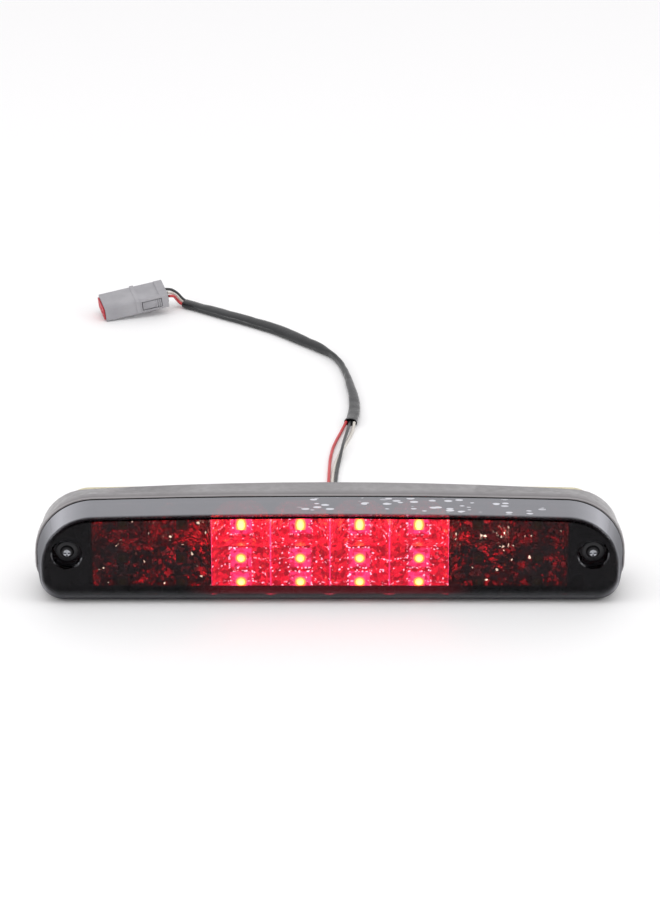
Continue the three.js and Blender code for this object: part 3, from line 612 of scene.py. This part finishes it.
def smoked_polycarbonate():
    """Clear plastic with a smoky tint: transparent face on, and a mirror at a glancing angle."""
    made = bpy.data.materials.new("smoked_polycarbonate")
    made.use_nodes = True
    tree = made.node_tree
    tree.nodes.remove(tree.nodes["Principled BSDF"])
    spot = tree.nodes.new("ShaderNodeTexCoord")
    place = Tone(tree, spot.outputs["Object"])
    sideways = Tone(tree, spot.outputs["Normal"]).part(0)
    ripple = (place.noise(0.03, 2) + place.noise(0.006, 2) * 0.06).bump(0.0004, 0.25)
    facing = place.add("ShaderNodeLayerWeight", {}, {"Blend": 0.5, "Normal": ripple}, "Facing")
    painted_chin_shade = place.part(2).ramp(0.004, 0.016, 0.3, 1.0)  # painted shade: the chin's reflection is cut down, standing in for the shadow at its joint with the table
    sheen = facing.maths("POWER", 2.3) * 1.8
    # painted shade: less reflection on the end walls, which face sideways
    ends = sideways.maths("ABSOLUTE").ramp(0.6, 0.95, 1.0, 0.4)
    rim = (place.part(1) - FACE_Y * MM).ramp(0.0226, 0.0230, 1.0, 0.0)  # painted shade: no reflection along the joint, so it shows as a dark line
    share = sheen.maths("MINIMUM", 0.5) * painted_chin_shade * ends * rim
    # painted highlights: spots on the upper wall made full mirror
    share = share.maths("MAXIMUM", painted_highlights(place) * 0.8)
    dim = facing.ramp(0.2, 0.5)
    # painted shade: the tint is also darker below 8 mm, on the chin
    dim = dim.maths("MAXIMUM", place.part(2).ramp(0.008, 0.004))
    clear = place.add("ShaderNodeBsdfTransparent", {}, {"Color": rgb(0.36, 0.33, 0.34)})
    slanted = place.add("ShaderNodeBsdfTransparent", {}, {"Color": rgb(0.10, 0.09, 0.095)})
    tint = place.add("ShaderNodeMixShader", {}, {0: dim, 1: clear, 2: slanted})
    gloss = place.add("ShaderNodeBsdfGlossy", {}, {
        "Color": rgb(0.93, 0.94, 1.0), "Roughness": place.noise(0.004, 3).ramp(0.3, 0.7, 0.05, 0.11),
        "Normal": ripple})
    mixed = place.add("ShaderNodeMixShader", {}, {0: share, 1: tint, 2: gloss})
    tree.links.new(mixed.socket, tree.nodes["Material Output"].inputs["Surface"])
    return made


piece("lens_moulding", lens_mesh(), smoked_polycarbonate(), ["lens"], smooth=28)

# ---------- housing ----------
# Dark moulded tray that closes the lens: a shallow flange at the joint, a tapered shell and a
# flat back plate with ribs, bosses and two locating pins.
def housing_plastic(place):
    cloud = place.noise(0.05, 4)
    painted_flange_light = place.part(1).ramp(-0.0028, -0.0036)  # painted highlight: the flange band is paler, where it faces up into the light
    plain = cloud.ramp(0.3, 0.7).blend(rgb(0.11, 0.10, 0.105), rgb(0.145, 0.135, 0.14))
    return {"Base Color": painted_flange_light.blend(plain, rgb(0.25, 0.235, 0.24)),
            "Roughness": place.noise(0.006, 5).ramp(0.3, 0.7, 0.28, 0.4),
            "Normal": (place.noise(0.0007, 2) + cloud * 0.4).bump(0.0001, 0.3)}


dark_plastic = material("housing_plastic", {"Coat Weight": 0.6, "Coat Roughness": 0.22}, housing_plastic)
piece("housing_moulding", rounded("housing", 0.25), dark_plastic, ["housing"])
adhesive = material("cured_adhesive", {},
                    moulded(rgb(0.008, 0.008, 0.009), rgb(0.014, 0.014, 0.015), 0.4))
tuned("sealing_bead", adhesive)

# ---------- gasket ----------
# Ring of tan open-cell foam with adhesive on one side, stuck round the back plate by hand. It
# is squeezed against the body when the screws are tightened.
def foam(place):
    pores = place.cells(0.0011).ramp(0.1, 0.55)
    cloud = place.noise(0.006, 4)
    return {"Base Color": (cloud * 0.5 + pores * 0.5).blend(rgb(0.42, 0.37, 0.22), rgb(0.72, 0.67, 0.48)),
            "Normal": (pores + cloud * 0.6).bump(0.0005, 0.7)}


piece("gasket_foam", rounded("foam_gasket", 0.5), material("tan_foam", {"Roughness": 1.0}, foam),
      ["foam_gasket"])

# ---------- bezel ----------
# Polished black moulded frame just behind the lens face; it masks the joint round the
# reflectors and has a dark end plate round each screw well.
def bezel_black(place):
    cloud = place.noise(0.014, 4)
    patch = cloud.ramp(0.42, 0.66)
    x = place.part(0)
    lit = x.maths("ABSOLUTE").ramp(0.098, 0.062) * place.part(2).ramp(0.016, 0.010)  # painted red light from the lit LEDs, on the frame's lower middle bar
    glow = lit.blend(rgb(0, 0, 0), rgb(0.55, 0.02, 0.045))
    return {"Base Color": patch.blend(rgb(0.004, 0.003, 0.003), rgb(0.05, 0.036, 0.026)),
            "Roughness": cloud.ramp(0.3, 0.7, 0.1, 0.26), "Emission Color": glow,
            "Normal": place.noise(0.015, 3).bump(0.0006, 0.4)}


polished_black = material(
    "bezel_black", {"Coat Weight": 0.25, "Coat Roughness": 0.08, "Emission Strength": 1.0}, bezel_black)
piece("bezel_frame", rounded("bezel", 0.2), polished_black, ["bezel"])

# ---------- reflectors ----------
# Three vacuum-metallised trays of troughs side by side. Each trough has a flat strip for its LEDs
# between two crumpled wings, and steps back by a ledge above its middle LED.
PITCH_X = (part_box("cargo_led_4")[0].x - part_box("cargo_led_1")[0].x) / MM
STRIP = 13.6
RIDGE = 5.2  # depth behind the lens face, as the next
LOWER_FLOOR = 10
ROWS = [(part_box(f"brake_led_{i}")[0].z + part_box(f"brake_led_{i}")[1].z) / 2 / MM for i in (1, 2, 3)]
LEDGE = (ROWS[1] + ROWS[2]) / 2
TRAY_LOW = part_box("reflector_brake")[0].z / MM
# a wing's profile: share of its width, share of its depth
WING = [(0, 0), (0.12, 0.24), (0.3, 0.52), (0.46, 0.69), (0.62, 0.84), (0.8, 0.93), (1, 1)]
TRAY_GAP = 0.2
TRAY_WALL = 1.0
ROOF_GAP = 3.3
CRUMPLE = (0.7, 0.62, 0.8)  # how far a corner is pushed along X, Y and Z
LOWER_STEPS = 13
LEDGE_STEPS = 4
UPPER_STEPS = 10


def trough_plan(left, cells):
    """Places across the tray: x, how deep it lies from ridge 0 to floor 1, and how crumpled."""
    plan = []
    wing = (PITCH_X - STRIP) / 2
    for cell in range(cells):
        x = left + cell * PITCH_X
        plan += [(x + u * wing, v, 1.0 if 0 < u < 1 else 0.15) for u, v in WING]
        plan += [(x + wing + STRIP * k / 5, 1, 0.12) for k in range(1, 5)]
        plan += [(x + PITCH_X - u * wing, v, 1.0 if 0 < u < 1 else 0.15) for u, v in WING[::-1]]
    kept = [p for k, p in enumerate(plan) if k == 0 or p[0] - plan[k - 1][0] > 0.01]
    return [(kept[0][0] + TRAY_GAP, *kept[0][1:]), *kept[1:-1], (kept[-1][0] - TRAY_GAP, *kept[-1][1:])]


def tray_mesh(name, first, cells, seed):
    random.seed(seed)
    columns = trough_plan(first * PITCH_X, cells)
    rows = [("lower", i / LOWER_STEPS, i in (0, LOWER_STEPS)) for i in range(LOWER_STEPS + 1)]
    rows += [("ledge", i / LEDGE_STEPS, False) for i in range(1, LEDGE_STEPS)]
    rows += [("upper", i / UPPER_STEPS, i in (0, UPPER_STEPS)) for i in range(UPPER_STEPS + 1)]
    points = []
    for part, share, edge in rows:
        for k, (x, deep, rough) in enumerate(columns):
            low_depth = RIDGE + deep * (LOWER_FLOOR - RIDGE)
            high_depth = RIDGE + deep * (LENS_DEPTH - RIDGE)
            depth = {"lower": low_depth, "upper": high_depth,
                     "ledge": low_depth + (high_depth - low_depth) * share}[part]
            roof = TOP - TOP_TAPER * (1 - depth / LENS_DEPTH) - ROOF_GAP - x * x / (2 * ARCH)
            z = {"lower": TRAY_LOW + share * (LEDGE - TRAY_LOW), "ledge": LEDGE,
                 "upper": LEDGE + share * (roof - LEDGE)}[part]
            crumple = 0 if edge or k in (0, len(columns) - 1) else rough
            push = [random.uniform(-most, most) * crumple for most in CRUMPLE]
            points.append((x + push[0], FACE_Y + depth + push[1], z + push[2]))
    count = len(columns)
    faces = []
    for r in range(len(rows) - 1):
        for k in range(count - 1):
            a, b, c, d = r * count + k, r * count + k + 1, (r + 1) * count + k + 1, (r + 1) * count + k
            faces += [(a, b, c), (a, c, d)] if random.random() < 0.5 else [(a, b, d), (b, c, d)]
    total = len(points)
    points += [(x, y + TRAY_WALL, z) for x, y, z in points]
    faces += [tuple(total + k for k in face[::-1]) for face in faces]
    rim = (list(range(count)) + [r * count + count - 1 for r in range(1, len(rows))]
           + [(len(rows) - 1) * count + k for k in range(count - 2, -1, -1)]
           + [r * count for r in range(len(rows) - 2, 0, -1)])
    faces += [(a, b, total + b, total + a) for a, b in zip(rim, rim[1:] + rim[:1])]
    return mesh_of(name, points, faces)


def led_distance(place):
    """How far a place lies from the nearest LED axis, across the lamp and up it, in metres."""
    pitch = PITCH_X * MM
    cell = place.part(0) / pitch
    middle = cell.maths("FRACT") - 0.5
    across = middle.maths("ABSOLUTE") * pitch
    up = None
    for row in ROWS:
        above = place.part(2) - row * MM
        offset = above.maths("ABSOLUTE")
        up = offset if up is None else up.maths("MINIMUM", offset)
    return across, up


def metallised(lit):
    """Metallised plastic whose emission is painted light: red LED light with halos, sparkles and ridge lines
    on the lit trays, and a little red spill from the lit cells beside and a few pale glints on the unlit
    ones.
    """
    def varied(place):
        across, up = led_distance(place)
        square = across.maths("MAXIMUM", up)
        ridge = PITCH_X / 2 * MM - across
        facet = place.cells(0.0026, "Color").part(0)
        fine = place.cells(0.00105, "Color").part(1)
        if lit:
            halo = square.ramp(0.0078, 0.0062) * (0.5 + facet * 0.5)
            rim = square.ramp(0.0066, 0.0070) * square.ramp(0.0084, 0.0078)
            dots = rim * fine.ramp(0.78, 0.86) + up.ramp(0.0008, 0.0004) * fine.ramp(0.7, 0.8) * 0.6
            line = ridge.ramp(0.0007, 0.0003)
            spark = fine.ramp(0.972, 0.982) + dots
            pink = halo.maths("MAXIMUM", line)
            glow = spark.blend(pink.blend(rgb(5.6, 0.08, 0.26), rgb(8.4, 0.32, 1.3)), rgb(8.5, 3.4, 4.4))
            strength = facet.ramp(0.05, 0.95, 0.55, 1.3) + halo * 0.35 + spark * 0.5 + line * 0.5
            # painted red light: the lit trays' metal is tinted red
            tones = rgb(0.16, 0.05, 0.055), rgb(0.34, 0.11, 0.12)
        else:
            middle = place.part(0).maths("ABSOLUTE")
            leak = middle.ramp(0.078, 0.15, 1.0, 0.35) * place.noise(0.011, 2).ramp(0.45, 0.6, 0.15, 1.0)
            glint = place.cells(0.0015, "Color").part(2).ramp(0.991, 0.995)
            glow = glint.blend(rgb(1.9, 0.014, 0.04), rgb(6.0, 5.2, 3.8))
            strength = facet.ramp(0.55, 0.97, 0.12, 1.5) * leak + glint + fine.ramp(0.9, 0.94) * leak * 2.6
            # painted shade: the unlit trays' metal is darkened
            tones = rgb(0.24, 0.21, 0.20), rgb(0.60, 0.57, 0.56)
        scaled = strength.add("ShaderNodeVectorMath", {"operation": "SCALE"}, {0: glow, "Scale": strength})
        return {"Base Color": facet.blend(*tones), "Roughness": facet.ramp(0.0, 1.0, 0.1, 0.28),
                "Emission Color": scaled,
                "Normal": (place.noise(0.003, 3) + fine * 0.2).bump(0.0006, 0.45)}
    return material(f"metallised_{'lit' if lit else 'unlit'}",
                    {"Metallic": 1.0, "Emission Strength": 1.0}, varied)


lit_metal, unlit_metal = metallised(True), metallised(False)
for tray, first, cells, finish in (("brake", -2, 4, lit_metal), ("cargo_left", -4, 2, unlit_metal),
                                   ("cargo_right", 2, 2, unlit_metal)):
    piece(f"{tray}_tray", tray_mesh(tray, first, cells, 11 + first), finish,
          [f"reflector_{tray}"], smooth=4)

# ---------- LEDs ----------
# Square resin packages with a clear dome, three to a trough: red ones lit for braking in the four
# middle cells, and white ones with a yellow phosphor, off, in the two cells at each end.
LED_SIDE = 7.6
LED_THICK = 3
LED_EDGE = 0.35
DOME_FRONT = 1.6
DOME = [(0, -1.7), (0.5, -1.65), (1.0, -1.5), (1.5, -1.22), (1.9, -0.85), (2.2, -0.4),
        (2.35, 0.0), (2.35, 0.5), (0, 0.5)]  # radius and depth


def led_pattern():
    """One LED round its own axis, its front face at depth 0; "dome" is 1 on the points of its dome."""
    shape = bmesh.new()
    size = (LED_SIDE * MM, LED_THICK * MM, LED_SIDE * MM, 1)
    bmesh.ops.create_cube(shape, size=1, matrix=Matrix.Diagonal(size))
    bmesh.ops.translate(shape, verts=shape.verts, vec=(0, LED_THICK / 2 * MM, 0))
    bmesh.ops.bevel(shape, geom=shape.edges[:], offset=LED_EDGE * MM, segments=3, profile=0.5,
                    affect="EDGES")
    body_count = len(shape.verts)
    sides = 28
    previous = None
    for radius, depth in DOME:
        ring = ([shape.verts.new((0, depth * MM, 0))] if radius == 0 else
                [shape.verts.new((radius * MM * math.cos(2 * math.pi * k / sides), depth * MM,
                                  radius * MM * math.sin(2 * math.pi * k / sides))) for k in range(sides)])
        if previous:
            for k in range(sides):
                j = (k + 1) % sides
                corners = ([previous[0], ring[k], ring[j]] if len(previous) == 1 else
                           [previous[k], ring[0], previous[j]] if len(ring) == 1 else
                           [previous[k], ring[k], ring[j], previous[j]])
                shape.faces.new(corners)
        previous = ring
    bmesh.ops.recalc_face_normals(shape, faces=shape.faces)
    mesh = bpy.data.meshes.new("led")
    shape.to_mesh(mesh)
    shape.free()
    share = mesh.attributes.new("dome", "FLOAT", "POINT")
    share.data.foreach_set("value", [0.0] * body_count + [1.0] * (len(mesh.vertices) - body_count))
    return mesh


def repeated(name, pattern, places, finish):
    """One mesh that holds the pattern at every place, laid out by a Geometry Nodes group."""
    group = bpy.data.node_groups.new(f"{name}_layout", "GeometryNodeTree")
    group.interface.new_socket("Places", in_out="INPUT", socket_type="NodeSocketGeometry")
    shape = group.interface.new_socket("Pattern", in_out="INPUT", socket_type="NodeSocketObject")
    coat = group.interface.new_socket("Finish", in_out="INPUT", socket_type="NodeSocketMaterial")
    group.interface.new_socket("Pieces", in_out="OUTPUT", socket_type="NodeSocketGeometry")
    kinds = {"start": "NodeGroupInput", "end": "NodeGroupOutput", "source": "GeometryNodeObjectInfo",
             "spread": "GeometryNodeInstanceOnPoints", "real": "GeometryNodeRealizeInstances",
             "coat": "GeometryNodeSetMaterial"}
    nodes = {key: group.nodes.new(kind) for key, kind in kinds.items()}
    for source, out, target, into in (
            ("start", "Places", "spread", "Points"), ("start", "Pattern", "source", "Object"),
            ("source", "Geometry", "spread", "Instance"), ("spread", "Instances", "real", "Geometry"),
            ("real", "Geometry", "coat", "Geometry"), ("start", "Finish", "coat", "Material"),
            ("coat", "Geometry", "end", "Pieces")):
        group.links.new(nodes[source].outputs[out], nodes[target].inputs[into])
    points = bpy.data.meshes.new(name)
    points.from_pydata([Vector(p) * MM for p in places], [], [])
    host = bpy.data.objects.new(name, points)
    stamp = bpy.data.objects.new("pattern", pattern)
    for made in (host, stamp):
        scene.collection.objects.link(made)
    layout = host.modifiers.new("layout", "NODES")
    layout.node_group = group
    layout[shape.identifier] = stamp
    layout[coat.identifier] = finish
    mesh = bpy.data.meshes.new_from_object(
        host.evaluated_get(bpy.context.evaluated_depsgraph_get()))
    for spent in (host, stamp):
        bpy.data.objects.remove(spent)
    return mesh


def round_distance(across, up):
    return (across * across + up * up).maths("SQRT")


def led_resin(name, body, dome, glow_body, glow_edge, glow_core):
    """The glow runs from a core through its edge to the body; the top row's is drawn out upwards."""
    def varied(place):
        attribute = place.add("ShaderNodeAttribute", {"attribute_name": "dome"}, {}, "Fac")
        across, up = led_distance(place)
        stretch = place.part(2).ramp((LEDGE - 0.1) * MM, (LEDGE + 0.1) * MM, 1.0, 0.58)
        grain = place.noise(0.0008, 3)
        radius = round_distance(across, up * stretch) + grain * 0.0006
        edge = radius.ramp(0.0043, 0.0034)
        core = radius.ramp(0.0034, 0.0010)
        return {"Base Color": (attribute * 0.8 + grain * 0.2).blend(body, dome),
                "Emission Color": core.blend(edge.blend(glow_body, glow_edge), glow_core),
                "Normal": grain.bump(0.00005, 0.3)}
    return material(name, {"Roughness": 0.16, "Emission Strength": 1.0, "Coat Weight": 0.4}, varied)


led_finishes = {
    "brake": led_resin("lit_red_led", rgb(0.8, 0.5, 0.5), rgb(0.9, 0.4, 0.35),
                       rgb(11, 0.55, 1.9), rgb(42, 3.4, 0.6), rgb(80, 22, 4.6)),
    # painted light: the off white LEDs still have a faint warm glow
    "cargo": led_resin("unlit_white_led", rgb(0.4, 0.38, 0.36), rgb(0.42, 0.38, 0.2),
                       rgb(0.02, 0, 0), rgb(0.02, 0.01, 0), rgb(0.04, 0.03, 0)),
}
for use, finish in led_finishes.items():
    nodes = [f"{use}_led_{i}" for i in range(1, 13)]
    places = []
    for node in nodes:
        low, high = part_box(node)
        places.append(((low.x + high.x) / 2 / MM, low.y / MM + DOME_FRONT, (low.z + high.z) / 2 / MM))
    piece(f"{use}_leds", repeated(f"{use}_leds", led_pattern(), places, finish), finish,
          nodes)

# ---------- boards, resistors, ribbon and board screws ----------
# Two green circuit boards behind the trays, with two resistors, a white ribbon between them and
# three small zinc screws into the housing's posts.
def board(place):
    track = place.noise(0.004, 1).ramp(0.48, 0.52)
    weave = place.noise(0.0006, 2)
    return {"Base Color": track.blend(rgb(0.02, 0.11, 0.05), rgb(0.04, 0.2, 0.09)),
            "Roughness": weave.ramp(0.3, 0.7, 0.3, 0.42),
            "Normal": (track + weave * 0.3).bump(0.00006, 0.5)}


def zinc(place):
    cloud = place.noise(0.003, 4)
    return {"Base Color": cloud.blend(rgb(0.50, 0.51, 0.54), rgb(0.72, 0.73, 0.76)),
            "Roughness": cloud.ramp(0.3, 0.7, 0.22, 0.4), "Normal": place.noise(0.0006, 2).bump(0.00004, 0.4)}


BAND_TURNS = 1400  # radians a metre of the resistors' colour bands


def lacquer(place):
    band = (place.part(0) * BAND_TURNS).maths("SINE").ramp(0.6, 0.8)
    return {"Base Color": band.blend(rgb(0.55, 0.40, 0.22), rgb(0.25, 0.03, 0.02)),
            "Normal": place.noise(0.0008, 2).bump(0.00005, 0.3)}


board_green = material("board_green", {"Coat Weight": 0.3}, board)
zinc_steel = material("zinc_steel", {"Metallic": 1.0}, zinc)
for node in ("led_board_lower", "led_board_upper"):
    tuned(node, board_green)
for node in ("board_screw_left", "board_screw_right", "board_screw_top", "screw_spacer_left",
             "screw_spacer_right"):
    tuned(node, zinc_steel)
for node in ("ballast_resistor_1", "ballast_resistor_2"):
    tuned(node, material(f"{node}_lacquer", {"Roughness": 0.35}, lacquer))
film = material("ribbon_film", {}, moulded(rgb(0.62, 0.62, 0.58), rgb(0.76, 0.76, 0.72), 0.45))
tuned("board_ribbon", film)

# ---------- mounting screws ----------
# Two long black screws with flanged heads deep in the wells; the middle of each head is painted pale bare
# metal, a painted highlight.
def blacked_steel(place):
    x, z = place.part(0), place.part(2)
    across = x.maths("ABSOLUTE") - WELL_X * MM
    up = z - WELL_Z * MM
    radius = round_distance(across, up)
    cloud = place.noise(0.002, 4)
    # painted highlight: pale bare metal in the middle of each head
    painted_crown_highlight = (radius + cloud * 0.0006).ramp(0.0030, 0.0022)
    return {"Base Color": painted_crown_highlight.blend(rgb(0.016, 0.016, 0.018), rgb(0.42, 0.43, 0.46)),
            "Roughness": cloud.ramp(0.3, 0.7, 0.28, 0.42), "Metallic": painted_crown_highlight.ramp(0, 1, 0.4, 1.0),
            "Normal": cloud.bump(0.0001, 0.5)}


screw_steel = material("blacked_steel", {}, blacked_steel)
for side in ("left", "right"):
    node = f"mounting_screw_{side}"
    piece(f"long_screw_{side}", rounded(node, 0.12), screw_steel, [node])

# ---------- breather and grommet ----------
# A small grey breather plug with its membrane, pressed into the back, and the soft black rubber
# grommet that the wires leave through.
breather_grey = material("breather_grey", {},
                         moulded(rgb(0.2, 0.21, 0.22), rgb(0.27, 0.28, 0.29), 0.5))
rubber = material("grommet_rubber", {},
                  moulded(rgb(0.012, 0.012, 0.013), rgb(0.022, 0.022, 0.024), 0.55))
piece("breather", rounded("breather_plug", 0.2), breather_grey, ["breather_plug"])
piece("grommet", rounded("harness_grommet", 0.25), rubber, ["harness_grommet"])
